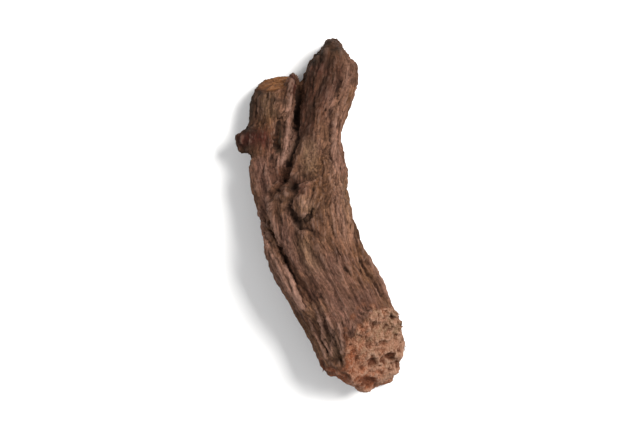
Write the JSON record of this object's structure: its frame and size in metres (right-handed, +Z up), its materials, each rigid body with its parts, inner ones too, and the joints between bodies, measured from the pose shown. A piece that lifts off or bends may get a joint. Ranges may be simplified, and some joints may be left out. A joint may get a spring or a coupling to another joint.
{
  "type": "indian madder root",
  "caption": "Short forked piece of dried Indian madder root with furrowed brown bark, a sawn prong and a torn, paler end.",
  "frame": {"origin": "on the table under the middle of the piece's box", "axes": "+Z up from the table, +Y along the piece towards its forked end, +X to the right seen from above with the fork at the top"},
  "size_m": [0.0264, 0.055, 0.0133],
  "materials": {
    "bark": "dull, dry, furrowed root bark",
    "cut_wood": "dull orange-brown sawn end grain",
    "torn_wood": "dull, pale pinkish broken wood"
  },
  "bodies": {
    "root": {"madder_root": "bark"}
  },
  "joints": []
}
